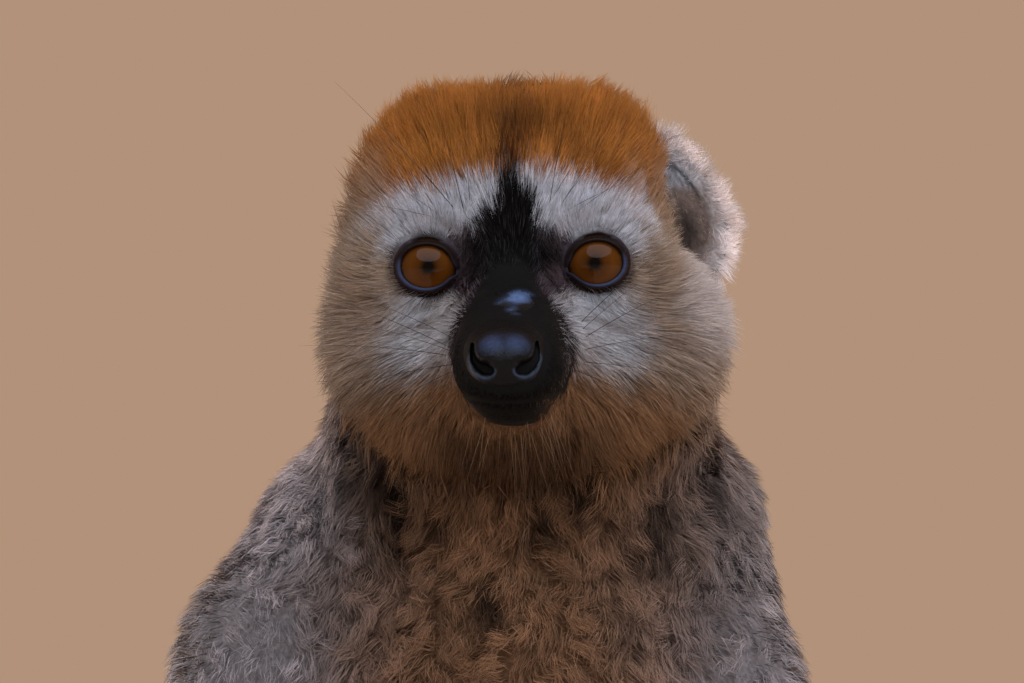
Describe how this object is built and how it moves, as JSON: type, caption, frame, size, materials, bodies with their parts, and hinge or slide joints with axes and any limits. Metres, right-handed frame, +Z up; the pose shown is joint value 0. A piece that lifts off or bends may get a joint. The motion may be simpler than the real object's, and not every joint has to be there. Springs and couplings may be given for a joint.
{
  "type": "red-fronted lemur",
  "caption": "Life-size still model of a red-fronted lemur sitting upright on its rump, hands on the floor between its feet, with its long bushy tail curled round on the floor beside it.",
  "frame": {"origin": "on the floor, under the middle of the rump, on the flat that the rump rests on", "axes": "+Z up, the face looks along -Y, the animal's left is +X"},
  "size_m": [0.3248, 0.3207, 0.2997],
  "materials": {
    "coat_grey": "dense woolly fur, blue-grey on the flanks and brown on the chest",
    "coat_head": "short dense fur, rufous crown, pale brows and cheeks, black muzzle",
    "coat_ear": "short fur with a pale fringe round the rim",
    "coat_tail": "bushy fur, darker towards the tip",
    "nose_skin": "bare moist black skin",
    "eye": "glossy amber eyeball with a round black pupil"
  },
  "bodies": {
    "root": {"head": "coat_head", "nose": "nose_skin", "eye_left": "eye", "eye_right": "eye", "ear_left": "coat_ear", "ear_right": "coat_ear", "neck": "coat_grey", "trunk": "coat_grey", "upper_arm_left": "coat_grey", "upper_arm_right": "coat_grey", "forearm_left": "coat_grey", "forearm_right": "coat_grey", "hand_left": "coat_grey", "hand_right": "coat_grey", "thigh_left": "coat_grey", "thigh_right": "coat_grey", "shank_left": "coat_grey", "shank_right": "coat_grey", "foot_left": "coat_grey", "foot_right": "coat_grey", "tail_1": "coat_tail", "tail_2": "coat_tail", "tail_3": "coat_tail", "tail_4": "coat_tail"}
  },
  "joints": []
}
